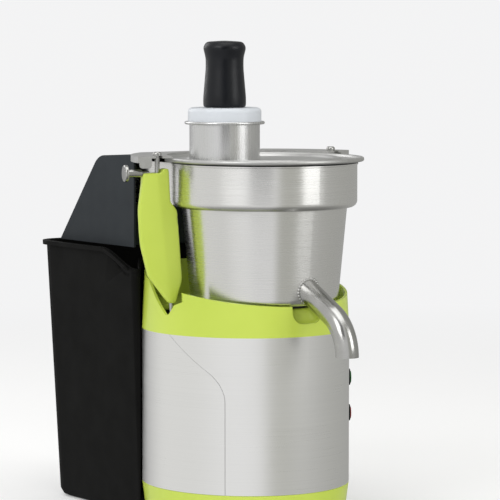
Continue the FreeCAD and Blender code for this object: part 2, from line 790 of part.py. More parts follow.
def latch_rod():
    eye = radial_rod(EYE_RADIUS, EYE_INNER, EYE_OUTER, PIVOT_Z)
    shank = moved(rod(ROD_RADIUS, PIVOT_Z, LEVER_TIP_Z + ROD_IN_LEVER), PIVOT_R, 0)
    hole = radial_rod(PIN_RADIUS + RUN_FIT, EYE_INNER, EYE_OUTER, PIVOT_Z)
    return at_latch(eye.fuse(shank).cut(hole))


def lever_outline():
    """Outline of the lever in its radial plane, as (radius, height, rounding)."""
    inner_top = BAND_RADIUS + LEVER_BAND_GAP
    inner_step = CONE_TOP_RADIUS + LEVER_CONE_GAP
    inner_low = BOWL_LOW_RADIUS + LEVER_LOW_GAP
    bulge = STUD_R + LEVER_BULGE
    length = LEVER_SHOULDER - LEVER_TIP_Z
    return [
        (inner_top + 2, LEVER_TOP, 2),
        (STUD_R - STUD_HEAD_RADIUS, LEVER_TOP, 2),
        (STUD_R - STUD_HEAD_RADIUS + 2, LEVER_SHOULDER, 1),
        (LEVER_FLAT_R, LEVER_SHOULDER, 1),
        (LEVER_FLAT_R, PULL_Z - 2 * PULL_RADIUS, 3),
        (bulge, LEVER_TIP_Z + 0.72 * length, 60),
        (bulge - 2, LEVER_TIP_Z + 0.46 * length, 90),
        (LEVER_FLAT_R - 7, LEVER_TIP_Z + 0.21 * length, 10),
        (PIVOT_R + ROD_RADIUS + 1, LEVER_TIP_Z, 2),
        (PIVOT_R - ROD_RADIUS - 1, LEVER_TIP_Z, 2),
        (inner_low, LEVER_TIP_Z + 0.18 * length, 8),
        (inner_step, STEP_Z - 2, 2),
        (inner_top, STEP_Z + BAND_CORNER, 3),
    ]


def lever_section(z, shift, ridge):
    """Double-wedge section of the lever at one height."""
    inner = BOWL_LOW_RADIUS
    middle = STUD_R + shift
    outer = WING_RADIUS + LEVER_BULGE
    edge = LEVER_EDGE
    places = [(inner, -edge), (middle, -ridge), (outer, 0), (middle, ridge), (inner, edge)]
    points = [V(x, y, z) for x, y in places]
    return Part.makePolygon(points + points[:1])


def latch_lever():
    reach = LEVER_RIDGE * 2
    plate = side_prism(lever_outline(), reach)
    low = lever_section(PIVOT_Z, PIVOT_R - STUD_R, LEVER_RIDGE_LOW)
    high = lever_section(LID_TOP, EYE_WIDTH / 2, LEVER_RIDGE)
    wedge = Part.makeLoft([low, high], True, True)
    body = plate.common(wedge)
    rod_hole = moved(rod(ROD_RADIUS + RUN_FIT, PIVOT_Z, LEVER_TIP_Z + ROD_IN_LEVER), PIVOT_R, 0)
    stud_hole = moved(rod(STUD_RADIUS + RUN_FIT, LEVER_SHOULDER - STUD_IN_LEVER, LID_TOP), STUD_R, 0)
    pull_hole = radial_rod(PULL_STEM_RADIUS + RUN_FIT, LEVER_FLAT_R - PULL_STEM_LENGTH, WING_RADIUS, PULL_Z)
    return at_latch(body.cut([rod_hole, stud_hole, pull_hole]))


def latch_stud():
    top = STUD_HEAD_Z + STUD_HEAD
    profile = [
        (0, LEVER_SHOULDER - STUD_IN_LEVER, 0),
        (STUD_RADIUS, LEVER_SHOULDER - STUD_IN_LEVER, 0),
        (STUD_RADIUS, STUD_HEAD_Z, 0),
        (STUD_HEAD_RADIUS, STUD_HEAD_Z, 0),
        (STUD_HEAD_RADIUS, top, STUD_HEAD * 0.6),
        (0, top, 0),
    ]
    return at_latch(moved(turned(profile), STUD_R, 0))


def finger_pull():
    end = LEVER_FLAT_R + PULL_LENGTH
    stem = radial_rod(PULL_STEM_RADIUS, LEVER_FLAT_R - PULL_STEM_LENGTH, LEVER_FLAT_R, PULL_Z)
    shaft = radial_rod(PULL_RADIUS, LEVER_FLAT_R, end, PULL_Z)
    head = radial_rod(PULL_HEAD_RADIUS, end, end + PULL_HEAD, PULL_Z)
    head = head.makeFillet(PULL_HEAD * 0.3, head.Edges)
    return at_latch(stem.fuse([shaft, head]).removeSplitter())


def pulp_chute():
    rear_top = CHUTE_FRONT + CHUTE_TOP_LENGTH
    corners = [
        (-CHUTE_FRONT, CHUTE_TOP, 0),
        (-CHUTE_FRONT, CHUTE_BOTTOM, 0),
        (-CHUTE_FRONT - CHUTE_REACH, CHUTE_BOTTOM, 0),
        (-rear_top, CHUTE_TOP - CHUTE_TOP_FALL, CHUTE_CORNER),
    ]
    outer = side_prism(corners, CHUTE_HALF)
    wire = rounded_wire([(V(x, -CHUTE_INNER_HALF, z), rounding) for x, z, rounding in corners])
    face = Part.Face(wire.makeOffset2D(-CHUTE_WALL))
    hollow = face.extrude(V(0, 2 * CHUTE_INNER_HALF, 0))
    shift = 2 * CHUTE_WALL
    shell = outer.cut(hollow).cut(moved(hollow, shift, 0)).cut(moved(hollow, 0, 0, -shift))
    shell = shell.cut(moved(hollow, shift, 0, -shift))
    apron_x = -DUCT_END - SEAT_FIT
    apron_low = V(apron_x - CHUTE_WALL, -CHUTE_INNER_HALF, CHUTE_BOTTOM)
    apron_high = V(apron_x, CHUTE_INNER_HALF, STEP_Z + BOWL_WALL)
    return shell.fuse(block(apron_low, apron_high)).removeSplitter()


def bin_plan(z, inset):
    """Rounded plan of the bin at one height, with its draft, drawn in by an inset."""
    draft = BIN_DRAFT * (1 - z / BIN_HEIGHT)
    half = BIN_HALF_WIDTH - draft - inset
    front = -BIN_NOSE - inset
    rear = -BIN_REAR + draft + inset
    radius = BIN_CORNER - inset
    nose = BIN_NOSE_ROUND
    places = [(front, -half, nose), (front, half, nose), (rear, half, radius), (rear, -half, radius)]
    return rounded_wire([(V(x, y, z), rounding) for x, y, rounding in places])


def bin_loft(insets):
    return Part.makeLoft([bin_plan(z, inset) for z, inset in insets], True, True)


def pulp_bin():
    round_foot = BIN_FOOT_ROUND
    foot = [(0, round_foot), (0.3 * round_foot, 0.35 * round_foot), (round_foot, 0)]
    lip_low = BIN_HEIGHT - BIN_LIP
    high = BIN_HEIGHT + BIN_LIP
    low = BIN_HEIGHT - BIN_DIP
    outer = bin_loft(foot + [(BIN_HEIGHT, 0)])
    lip = bin_loft([(lip_low, -BIN_LIP), (BIN_HEIGHT, -BIN_LIP)])
    shell = outer.fuse(lip).cut(oval(-BIN_GAP, 0, high))
    hollow = bin_loft([(BIN_FLOOR, BIN_WALL + round_foot / 2), (2 * round_foot, BIN_WALL), (high, BIN_WALL)])
    hollow = hollow.cut(oval(-BIN_GAP - BIN_WALL, 0, high))
    dip = [
        (-BIN_DIP_START, BIN_HEIGHT, BIN_DIP_ROUND),
        (-BIN_DIP_START + BIN_DIP_RUN, low, BIN_DIP_ROUND),
        (0, low, 0),
        (0, high, 0),
        (-BIN_DIP_START - BIN_DIP, high, 0),
        (-BIN_DIP_START - BIN_DIP, BIN_HEIGHT, 0),
    ]
    return shell.cut([hollow, side_prism(dip, FAR)]).removeSplitter()


def motor_can():
    bore = MOTOR_RADIUS - MOTOR_WALL
    return tube(MOTOR_RADIUS, bore, MOTOR_BOTTOM + BELL_THICK, MOTOR_TOP - BELL_THICK)


def stator_core():
    middle = (MOTOR_TOP + MOTOR_BOTTOM) / 2
    half = STATOR_LENGTH / 2
    return tube(MOTOR_RADIUS - MOTOR_WALL, ROTOR_RADIUS + AIR_GAP, middle - half, middle + half)


def end_bell(low):
    return tube(MOTOR_RADIUS, BEARING_RADIUS, low, low + BELL_THICK)


def motor_bearings():
    bore = SHAFT_RADIUS + RUN_FIT
    lower = tube(BEARING_RADIUS, bore, MOTOR_BOTTOM, MOTOR_BOTTOM + BELL_THICK)
    upper = tube(BEARING_RADIUS, bore, MOTOR_TOP - BELL_THICK, MOTOR_TOP)
    return [lower, upper]


def motor_standoffs():
    post = moved(rod(STANDOFF_RADIUS, MOTOR_TOP, DECK_Z), STANDOFF_CIRCLE, 0)
    return [spun(post, angle) for angle in (45, 135, 225, 315)]


def motor_shaft():
    nut_top = BASKET_Z + BASKET_WALL + DISC_THICK + NUT_HEIGHT
    return rod(SHAFT_RADIUS, MOTOR_BOTTOM - FAN_GAP - FAN_HEIGHT, nut_top - SCREW_RADIUS)


def rotor():
    middle = (MOTOR_TOP + MOTOR_BOTTOM) / 2
    half = STATOR_LENGTH / 2
    return tube(ROTOR_RADIUS, SHAFT_RADIUS, middle - half, middle + half)


def cooling_fan():
    high = MOTOR_BOTTOM - FAN_GAP
    low = high - FAN_HEIGHT
    hub = tube(2 * SHAFT_RADIUS, SHAFT_RADIUS, low, high)
    disc = tube(FAN_RADIUS, SHAFT_RADIUS, high - FAN_HEIGHT / 4, high)
    blade = block(V(1.5 * SHAFT_RADIUS, -1, low), V(FAN_RADIUS, 1, high))
    blades = [spun(blade, 360 * index / FAN_BLADES) for index in range(FAN_BLADES)]
    return hub.fuse([disc] + blades).removeSplitter()


def basket_hub():
    skirt = BOWL_Z + HUB_FLOOR_GAP
    roof = BOWL_Z + BOSS_HEIGHT + HUB_FLOOR_GAP
    flange = BASKET_Z - HUB_FLANGE_THICK
    profile = sharp(
        (HUB_RADIUS - HUB_WALL, skirt),
        (HUB_RADIUS, skirt),
        (HUB_RADIUS, flange),
        (HUB_FLANGE_RADIUS, flange),
        (HUB_FLANGE_RADIUS, BASKET_Z),
        (SHAFT_RADIUS, BASKET_Z),
        (SHAFT_RADIUS, roof),
        (HUB_RADIUS - HUB_WALL, roof),
    )
    return turned(profile)


def filter_basket():
    rim = CONE_TOP_RADIUS - BOWL_WALL - BASKET_RIM_GAP
    wall_top = rim - BASKET_RIM_WIDTH
    floor = BASKET_Z + BASKET_WALL
    profile = sharp(
        (SHAFT_RADIUS, BASKET_Z),
        (BASKET_LOW_RADIUS, BASKET_Z),
        (wall_top, BASKET_TOP - BASKET_WALL),
        (rim, BASKET_TOP - BASKET_WALL),
        (rim, BASKET_TOP),
        (wall_top - BASKET_WALL, BASKET_TOP),
        (BASKET_LOW_RADIUS - BASKET_WALL, floor),
        (SHAFT_RADIUS, floor),
    )
    return turned(profile)


def grating_disc():
    floor = BASKET_Z + BASKET_WALL
    radius = BASKET_LOW_RADIUS - BASKET_WALL - DISC_INSET
    return tube(radius, SHAFT_RADIUS, floor, floor + DISC_THICK)


def basket_nut():
    low = BASKET_Z + BASKET_WALL + DISC_THICK
    corners = [spun(Part.Vertex(NUT_RADIUS, 0, low), 60 * index).Point for index in range(6)]
    hexagon = Part.Face(Part.makePolygon(corners + corners[:1]))
    return hexagon.extrude(V(0, 0, NUT_HEIGHT)).cut(rod(SHAFT_RADIUS, low, low + NUT_HEIGHT - SCREW_RADIUS))


def capacitor():
    can = rod(CAPACITOR_RADIUS, PLATE_TOP, PLATE_TOP + CAPACITOR_HEIGHT)
    x = -MOTOR_RADIUS - CAPACITOR_RADIUS - PIECE_SPACING
    return moved(can, x, CAPACITOR_RADIUS + PIECE_SPACING)


def control_module():
    length, width, height = MODULE_SIZE
    x = -MOTOR_RADIUS - PIECE_SPACING
    y = -PIECE_SPACING
    return block(V(x - length, y - width, PLATE_TOP), V(x, y, PLATE_TOP + height))


def interlock_switch():
    length, width, height = INTERLOCK_SIZE
    x = -MOTOR_RADIUS
    y = -CASING_HALF_WIDTH / 2
    return block(V(x - length, y - width, DECK_Z - height), V(x, y, DECK_Z))


def button_bezel(drop):
    bore = BUTTON_RADIUS + SEAT_FIT
    sleeve = radial_rod(bore + BEZEL_WALL, -SWITCH_DEPTH, 0, 0)
    flange = radial_rod(BEZEL_RADIUS, 0, BEZEL_PROUD, 0)
    flange = flange.makeFillet(BEZEL_PROUD * 0.45, [flange.Edges[0], flange.Edges[2]])
    ring = sleeve.fuse(flange).cut(radial_rod(bore, -SWITCH_DEPTH, BEZEL_PROUD, 0))
    return button_frame(ring.removeSplitter(), drop)


def button_cap(drop):
    cap = radial_rod(BUTTON_RADIUS, BUTTON_PROUD - BUTTON_LENGTH, BUTTON_PROUD, 0)
    return button_frame(cap, drop)


def switch_block():
    low, high = max(BUTTON_DROPS), min(BUTTON_DROPS)
    spread = low - high
    back = -SWITCH_DEPTH - SWITCH_DEPTH
    half = SWITCH_WIDTH / 2
    body = block(V(back, -half, -half), V(-SWITCH_DEPTH, half, spread + half))
    return button_frame(body, low)


def cord_gland():
    sleeve = radial_rod(GLAND_RADIUS, -GLAND_LENGTH / 2, GLAND_LENGTH, 0)
    nut = radial_rod(GLAND_FLANGE, -GLAND_LENGTH / 2, -GLAND_LENGTH / 2 + GLAND_FLANGE_THICK, 0)
    bore = radial_rod(GLAND_BORE, -GLAND_LENGTH, 2 * GLAND_LENGTH, 0)
    return gland_frame(sleeve.fuse(nut).cut(bore).removeSplitter())


def save(name, solids):
    shape = Part.makeCompound(solids) if isinstance(solids, list) else solids
    shape.exportStep("parts/%s.step" % name)


def save_pair(name, shape):
    save("right_" + name, shape)
    save("left_" + name, mirrored(shape))


def main():
    os.makedirs("parts", exist_ok=True)
    front_casing, rear_casing = casings()
    pieces = {
        "rubber_feet": feet(),
        "base_ring": base_ring(),
        "base_plate": base_plate(),
        "base_screws": base_screws(),
        "front_casing": front_casing,
        "rear_casing": rear_casing,
        "collar": collar(),
        "deck_plate": deck(),
        "bowl_seat": bowl_seat(),
        "bowl": bowl(),
        "shaft_seal": shaft_seal(),
        "spout": spout(),
        "lid": lid(),
        "lid_seal": lid_seal(),
        "feed_tube": feed_tube(),
        "plunger_head": plunger_head(),
        "plunger_grip": plunger_grip(),
        "pulp_chute": pulp_chute(),
        "pulp_bin": pulp_bin(),
        "motor_can": motor_can(),
        "stator_core": stator_core(),
        "lower_end_bell": end_bell(MOTOR_BOTTOM),
        "upper_end_bell": end_bell(MOTOR_TOP - BELL_THICK),
        "motor_bearings": motor_bearings(),
        "motor_standoffs": motor_standoffs(),
        "motor_shaft": motor_shaft(),
        "rotor": rotor(),
        "cooling_fan": cooling_fan(),
        "basket_hub": basket_hub(),
        "filter_basket": filter_basket(),
        "grating_disc": grating_disc(),
        "basket_nut": basket_nut(),
        "capacitor": capacitor(),
        "control_module": control_module(),
        "interlock_switch": interlock_switch(),
        "button_bezels": [button_bezel(drop) for drop in BUTTON_DROPS],
        "start_button": button_cap(BUTTON_DROPS[0]),
        "stop_button": button_cap(BUTTON_DROPS[1]),
        "switch_block": switch_block(),
        "cord_gland": cord_gland(),
    }
    for name, solids in pieces.items():
        save(name, solids)
    save_pair("latch_bracket", latch_bracket())
    save_pair("latch_pin", latch_pin())
    save_pair("latch_rod", latch_rod())
    save_pair("latch_lever", latch_lever())
    save_pair("latch_stud", latch_stud())
    save_pair("finger_pull", finger_pull())


main()
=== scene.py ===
import math

import bmesh
import bpy
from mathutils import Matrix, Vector


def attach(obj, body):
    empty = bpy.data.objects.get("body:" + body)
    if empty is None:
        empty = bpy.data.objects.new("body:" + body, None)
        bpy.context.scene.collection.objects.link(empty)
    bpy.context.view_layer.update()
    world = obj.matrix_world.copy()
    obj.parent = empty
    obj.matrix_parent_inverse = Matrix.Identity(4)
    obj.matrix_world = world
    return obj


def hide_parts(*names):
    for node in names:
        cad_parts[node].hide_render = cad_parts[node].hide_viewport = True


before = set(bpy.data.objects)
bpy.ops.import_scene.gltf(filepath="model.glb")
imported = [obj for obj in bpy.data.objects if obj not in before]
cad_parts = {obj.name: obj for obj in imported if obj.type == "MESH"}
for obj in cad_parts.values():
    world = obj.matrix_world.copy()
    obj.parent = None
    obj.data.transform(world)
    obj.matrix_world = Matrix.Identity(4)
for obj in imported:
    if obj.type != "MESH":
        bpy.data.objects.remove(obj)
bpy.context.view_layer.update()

# Lengths are in metres, in the model's own frame: the spout points along +X
QUARTER_TURN = 0.5 * math.pi
MERGE_DISTANCE = 1e-6

# Camera, with the level directions from the machine towards it and to the right of its picture
CAMERA_PLACE = Vector((2.693, -1.908, 0.590))
CAMERA_TARGET = Vector((-0.0098, -0.0139, 0.324))
CAMERA_LENS_MM = 201.0
CAMERA_SENSOR_MM = 36.0
CAMERA_REACH = 100.0
VIEW_BACK = Vector((0.819, -0.574, 0.0))
VIEW_RIGHT = Vector((0.574, 0.819, 0.0))

# Spout, the cone of the bowl that it is welded to, and the weld bead
SPOUT_RADIUS = 0.0135
SPOUT_ROOT = Vector((0.098, 0.0, 0.277))
SPOUT_SLOPE = math.radians(27.0)
CONE_LOW_RADIUS = 0.0875
CONE_TOP_RADIUS = 0.098
CONE_LOW_Z = 0.264
CONE_TOP_Z = 0.376
SEARCH_REACH = 2.0 * SPOUT_RADIUS
SEARCH_ROUNDS = 40
WELD_RADIUS = 0.0019
WELD_RIPPLES = 26
WELD_RIPPLE_DEPTH = 0.32
WELD_POINTS_PER_RIPPLE = 4
WELD_RESOLUTION = 3

# Recess that lets the spout out over the collar, in the deck under the bowl
WALL_CENTRE_X = -0.040
WALL_LENGTH = 0.1268
WALL_WIDTH = 0.1188
RECESS_HALF = 0.0206
RECESS_ROUND = 0.0136
RECESS_LOW = 0.2439
RECESS_TOP = 0.2604
RECESS_DEPTH = 0.0150
RECESS_NARROWING = 0.40
RECESS_WALL = 0.0010
RECESS_WALL_OFFSET = 1.0
RECESS_FIT = 0.0012
RECESS_ROWS = 14
RECESS_STEPS = 8

# Shoulders of the bin, where its rim sweeps down beside the casing
BIN_TOP = 0.322
BIN_HALF = 0.120
BIN_DRAFT = 0.012
BIN_SKIN = 0.0026
BIN_NOSE_X = -0.1015
BIN_NOSE_ROUND = 0.0068
BIN_NOSE_STEPS = 6
BIN_CASING_FIRST_STEP = 2
BIN_WALL_LENGTH = 0.13325
BIN_WALL_WIDTH = 0.12525
SWEEP_START = -0.172
SWEEP_END = -0.092
SWEEP_DROP = 0.023
PLAIN_START = -0.165
PLAIN_END = -0.120
PLAIN_DROP = 0.028
SHOULDER_OVERLAP = 0.004
SHOULDER_STEPS = 40
SHOULDER_ROUND = 0.0008
RIM_RADIUS = 0.0025
RIM_RESOLUTION = 4
RIM_END_SHARE = 0.4
RIM_TAPER = 6.0

# Rounds along the edges of moulded pieces
ROUND_SEGMENTS = 2
ROUND_ANGLE = math.radians(30.0)
EDGE_ROUNDS = {
    "pulp_chute": 0.0010,
    "pulp_bin": 0.0018,
    "base_ring": 0.0010,
}

# Soft skins, as rounds of smoothing
SKIN_VOXEL = 0.0011
SKIN_FACTOR = 0.5
SOFT_SKINS = {"right_latch_lever": 24, "left_latch_lever": 24, "plunger_grip": 30}

# Floor, which fades into the backdrop at a distance
FLOOR_SIZE = 60.0
FLOOR_ROUGHNESS = 0.6
FLOOR_GLOW = 0.34
FADE_START = 0.6
FADE_END = 2.6
BACKDROP = (0.90, 0.90, 0.905, 1.0)

# Dark card before the machine
CARD_BACK = 0.50
CARD_RIGHT = -0.03
CARD_UP = 0.69
CARD_WIDTH = 0.22
CARD_HEIGHT = 0.50
CARD_ROUGHNESS = 0.8

# Soft boxes as (name, towards the camera, right, up, size, power, height that it is aimed at)
AIM_BODY = 0.28
AIM_ABOVE = 1.0
SOFT_BOXES = [
    ("key", 1.6, -1.3, 1.7, (1.2, 1.2), 13.0, AIM_BODY),
    ("top", 0.3, 0.2, 2.4, (1.6, 1.6), 12.0, AIM_BODY),
    ("rear_left", -1.4, -1.5, 1.2, (0.8, 1.4), 7.0, AIM_BODY),
    ("right_box", 0.85, 1.45, 1.05, (0.75, 1.2), 7.2, AIM_ABOVE),
]

# Studio walls by the angle from the camera's side, rising to the right, as (angle, tone, share of blue),
# and how they are dimmed towards the floor, by the upward part of a direction
WALL_TONES = [
    (-180, 0.38, 1.0),
    (-140, 0.48, 1.0),
    (-110, 0.80, 0.98),
    (-60, 0.78, 0.98),
    (-20, 0.87, 1.0),
    (12, 0.87, 1.0),
    (23, 0.52, 0.93),
    (44, 0.50, 0.93),
    (54, 0.53, 0.96),
    (85, 0.48, 0.96),
    (110, 0.44, 0.95),
    (180, 0.36, 0.97),
]
DIM_LOW = -0.80
DIM_HIGH = -0.35
DIM_TONE = 0.35

# Linear colours
LIME = (0.550, 0.672, 0.086, 1.0)
LIME_DEEP = (0.500, 0.628, 0.067, 1.0)
STEEL = (0.870, 0.868, 0.858, 1.0)
STEEL_DARK = (0.830, 0.828, 0.818, 1.0)
BOWL = (0.790, 0.786, 0.772, 1.0)
BOWL_DARK = (0.750, 0.746, 0.732, 1.0)
LID = (0.600, 0.600, 0.590, 1.0)
LID_DARK = (0.560, 0.560, 0.550, 1.0)
SATIN = (0.690, 0.692, 0.690, 1.0)
SATIN_DARK = (0.650, 0.652, 0.650, 1.0)
BRIGHT = (0.500, 0.498, 0.485, 1.0)
BRIGHT_DARK = (0.440, 0.438, 0.425, 1.0)
SLATE = (0.021, 0.026, 0.031, 1.0)
SLATE_DARK = (0.017, 0.021, 0.025, 1.0)
BLACK = (0.0040, 0.0040, 0.0037, 1.0)
BLACK_DARK = (0.0028, 0.0028, 0.0026, 1.0)
RUBBER = (0.0030, 0.0038, 0.0062, 1.0)
RUBBER_DARK = (0.0024, 0.0031, 0.0052, 1.0)
WHITE = (0.650, 0.680, 0.720, 1.0)
WHITE_DARK = (0.620, 0.650, 0.690, 1.0)
ALLOY = (0.550, 0.550, 0.545, 1.0)
ALLOY_DARK = (0.450, 0.450, 0.445, 1.0)
IRON = (0.120, 0.115, 0.110, 1.0)
IRON_DARK = (0.080, 0.076, 0.072, 1.0)
GREEN = (0.030, 0.300, 0.060, 1.0)
GREEN_DARK = (0.024, 0.250, 0.050, 1.0)
RED = (0.500, 0.030, 0.022, 1.0)
RED_DARK = (0.420, 0.024, 0.018, 1.0)
CARD = (0.060, 0.060, 0.060, 1.0)
CARD_DARK = (0.050, 0.050, 0.050, 1.0)
PALE = (0.800, 0.800, 0.800, 1.0)
PALE_DARK = (0.780, 0.780, 0.780, 1.0)

# Noises of the materials: middle of their range, details, scales and effect on relief and gloss
NOISE_LOW = 0.3
NOISE_HIGH = 0.7
NOISE_DETAIL = 4.0
STAGE_SCALE = 3.0
CLOUD_SCALE = 9.0
HANDLING_SCALE = 38.0
SMEAR_SCALE = 14.0
GRAIN_DETAIL = 2.0
GRAIN_STRENGTH = 0.35
LINE_DETAIL = 6.0
LINE_DEPTH = 0.0002
GLOSS_DOWN = 0.04
GLOSS_UP = 0.05
SMEAR_SPREAD = 0.02

# Stretches of a metal's fine lines
BRUSHED_ROUND = (4.0, 4.0, 2600.0)
DRAWN_UP = (1800.0, 1800.0, 5.0)
FINE_ALL = (260.0, 260.0, 260.0)
SOFT_ALL = (70.0, 70.0, 70.0)

# Finishes, as settings that are the same all over a material
COATED = {"Coat Weight": 0.15}
SMOOTH = {"Specular IOR Level": 0.5}
SATIN_SKIN = {"Specular IOR Level": 0.32}
DULL = {"Specular IOR Level": 0.18}
MATT = {"Specular IOR Level": 0.08}
TURNED = {"Anisotropic": 0.8, "Anisotropic Rotation": 0.25}
PLAIN = {}

# Plastics as (name, light, dark, roughness, scale of the grain, depth of the grain, finish)
PLASTICS = {
    "lime": ("lime_plastic", LIME, LIME_DEEP, 0.32, 2600.0, 0.00004, COATED),
    "slate": ("chute_plastic", SLATE, SLATE_DARK, 0.5, 2200.0, 0.00008, DULL),
    "black": ("bin_plastic", BLACK, BLACK_DARK, 0.6, 1800.0, 0.00012, MATT),
    "rubber": ("soft_rubber", RUBBER, RUBBER_DARK, 0.36, 1500.0, 0.0001, SATIN_SKIN),
    "white": ("white_plastic", WHITE, WHITE_DARK, 0.34, 2400.0, 0.00003, SMOOTH),
    "green": ("green_button", GREEN, GREEN_DARK, 0.3, 2400.0, 0.00003, SMOOTH),
    "red": ("red_button", RED, RED_DARK, 0.3, 2400.0, 0.00003, SMOOTH),
}

# Metals as (name, light, dark, roughness, stretch of the lines, strength of the lines, finish)
METALS = {
    "casing": ("casing_steel", STEEL, STEEL_DARK, 0.32, BRUSHED_ROUND, 0.05, PLAIN),
    "bowl": ("bowl_steel", BOWL, BOWL_DARK, 0.27, BRUSHED_ROUND, 0.04, TURNED),
    "lid": ("lid_steel", LID, LID_DARK, 0.42, FINE_ALL, 0.02, PLAIN),
    "satin": ("satin_steel", SATIN, SATIN_DARK, 0.28, BRUSHED_ROUND, 0.04, PLAIN),
    "tube": ("tube_steel", SATIN, SATIN_DARK, 0.28, DRAWN_UP, 0.03, PLAIN),
    "bright": ("bright_steel", BRIGHT, BRIGHT_DARK, 0.22, SOFT_ALL, 0.004, PLAIN),
    "alloy": ("motor_alloy", ALLOY, ALLOY_DARK, 0.5, FINE_ALL, 0.2, PLAIN),
    "iron": ("core_iron", IRON, IRON_DARK, 0.55, BRUSHED_ROUND, 0.3, PLAIN),
}

# Nodes of the model by their material
LOOKS = {
    "lime": ["base_ring", "collar", "deck_plate", "right_latch_lever", "left_latch_lever"],
    "casing": ["front_casing", "rear_casing"],
    "bowl": ["bowl"],
    "lid": ["lid"],
    "satin": [
        "filter_basket", "grating_disc", "basket_nut", "base_screws", "right_latch_bracket",
        "left_latch_bracket", "right_latch_pin", "left_latch_pin", "motor_shaft", "motor_bearings",
    ],
    "tube": ["feed_tube"],
    "bright": [
        "spout", "right_latch_rod", "left_latch_rod", "right_latch_stud", "left_latch_stud",
        "right_finger_pull", "left_finger_pull",
    ],
    "slate": ["pulp_chute"],
    "black": [
        "pulp_bin", "base_plate", "button_bezels", "cord_gland", "switch_block",
        "control_module", "interlock_switch", "cooling_fan",
    ],
    "rubber": ["plunger_grip", "rubber_feet", "bowl_seat", "shaft_seal", "lid_seal"],
    "white": ["plunger_head"],
    "alloy": [
        "motor_can", "lower_end_bell", "upper_end_bell", "motor_standoffs", "basket_hub", "capacitor",
    ],
    "iron": ["stator_core", "rotor"],
    "green": ["start_button"],
    "red": ["stop_button"],
}


def noise(tree, scale, stretch=(1.0, 1.0, 1.0), detail=NOISE_DETAIL):
    """Noise in the object's own frame, drawn out along the axes with a small stretch."""
    place = tree.nodes.new("ShaderNodeTexCoord")
    mapping = tree.nodes.new("ShaderNodeMapping")
    mapping.inputs["Scale"].default_value = stretch
    texture = tree.nodes.new("ShaderNodeTexNoise")
    texture.inputs["Scale"].default_value = scale
    texture.inputs["Detail"].default_value = detail
    tree.links.new(place.outputs["Object"], mapping.inputs["Vector"])
    tree.links.new(mapping.outputs["Vector"], texture.inputs["Vector"])
    return texture.outputs["Fac"]


def spread(tree, factor, low, high):
    """Maps the middle of a noise to a range of numbers."""
    node = tree.nodes.new("ShaderNodeMapRange")
    node.inputs["From Min"].default_value = NOISE_LOW
    node.inputs["From Max"].default_value = NOISE_HIGH
    node.inputs["To Min"].default_value = low
    node.inputs["To Max"].default_value = high
    tree.links.new(factor, node.inputs["Value"])
    return node.outputs["Result"]


def colours_among(sockets):
    return [socket for socket in sockets if socket.type == "RGBA"]


def between(tree, factor, first, second):
    """Colour between two colours."""
    node = tree.nodes.new("ShaderNodeMix")
    node.data_type = "RGBA"
    ends = colours_among(node.inputs)
    ends[0].default_value = first
    ends[1].default_value = second
    tree.links.new(factor, node.inputs["Factor"])
    return colours_among(node.outputs)[0]


def relief(tree, heights, strength, distance):
    """Normal of a surface with small heights."""
    node = tree.nodes.new("ShaderNodeBump")
    node.inputs["Strength"].default_value = strength
    node.inputs["Distance"].default_value = distance
    tree.links.new(heights, node.inputs["Height"])
    return node.outputs["Normal"]


def new_material(name, settings):
    """Material with settings that are the same all over it, its node tree and its shader."""
    material = bpy.data.materials.new(name)
    material.use_nodes = True
    shader = material.node_tree.nodes["Principled BSDF"]
    for socket, value in settings.items():
        shader.inputs[socket].default_value = value
    return material, material.node_tree, shader


def plastic(name, light, dark, roughness, grain_scale, grain_depth, settings):
    """Moulded plastic: faint clouding, uneven gloss and a fine moulded grain."""
    material, tree, shader = new_material(name, settings)
    cloud = noise(tree, CLOUD_SCALE)
    handling = noise(tree, HANDLING_SCALE)
    grain = noise(tree, grain_scale, detail=GRAIN_DETAIL)
    colour = between(tree, spread(tree, cloud, 0.0, 1.0), dark, light)
    gloss = spread(tree, handling, roughness - GLOSS_DOWN, roughness + GLOSS_UP)
    tree.links.new(colour, shader.inputs["Base Color"])
    tree.links.new(gloss, shader.inputs["Roughness"])
    tree.links.new(relief(tree, grain, GRAIN_STRENGTH, grain_depth), shader.inputs["Normal"])
    return material


def metal(name, light, dark, roughness, stretch, scratch, settings):
    """Metal with fine lines across the axes with a large stretch, or an even grain if all are equal."""
    settings = dict(settings, Metallic=1.0)
    material, tree, shader = new_material(name, settings)
    lines = noise(tree, 1.0, stretch, detail=LINE_DETAIL)
    smears = noise(tree, SMEAR_SCALE)
    colour = between(tree, spread(tree, lines, 0.0, 1.0), dark, light)
    fine = spread(tree, lines, -GLOSS_DOWN, GLOSS_UP)
    broad = spread(tree, smears, roughness - SMEAR_SPREAD, roughness + SMEAR_SPREAD)
    total = tree.nodes.new("ShaderNodeMath")
    total.operation = "ADD"
    tree.links.new(fine, total.inputs[0])
    tree.links.new(broad, total.inputs[1])
    tree.links.new(colour, shader.inputs["Base Color"])
    tree.links.new(total.outputs["Value"], shader.inputs["Roughness"])
    tree.links.new(relief(tree, lines, scratch, LINE_DEPTH), shader.inputs["Normal"])
    return material


def make_materials():
    made = {}
    for look, row in PLASTICS.items():
        made[look] = plastic(*row)
    for look, row in METALS.items():
        made[look] = metal(*row)
    return made


def paint(piece, material):
    if not piece.material_slots:
        piece.data.materials.append(material)
    for slot in piece.material_slots:
        slot.material = material


def paint_nodes(materials):
    for look, nodes in LOOKS.items():
        for node in nodes:
            paint(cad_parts[node], materials[look])


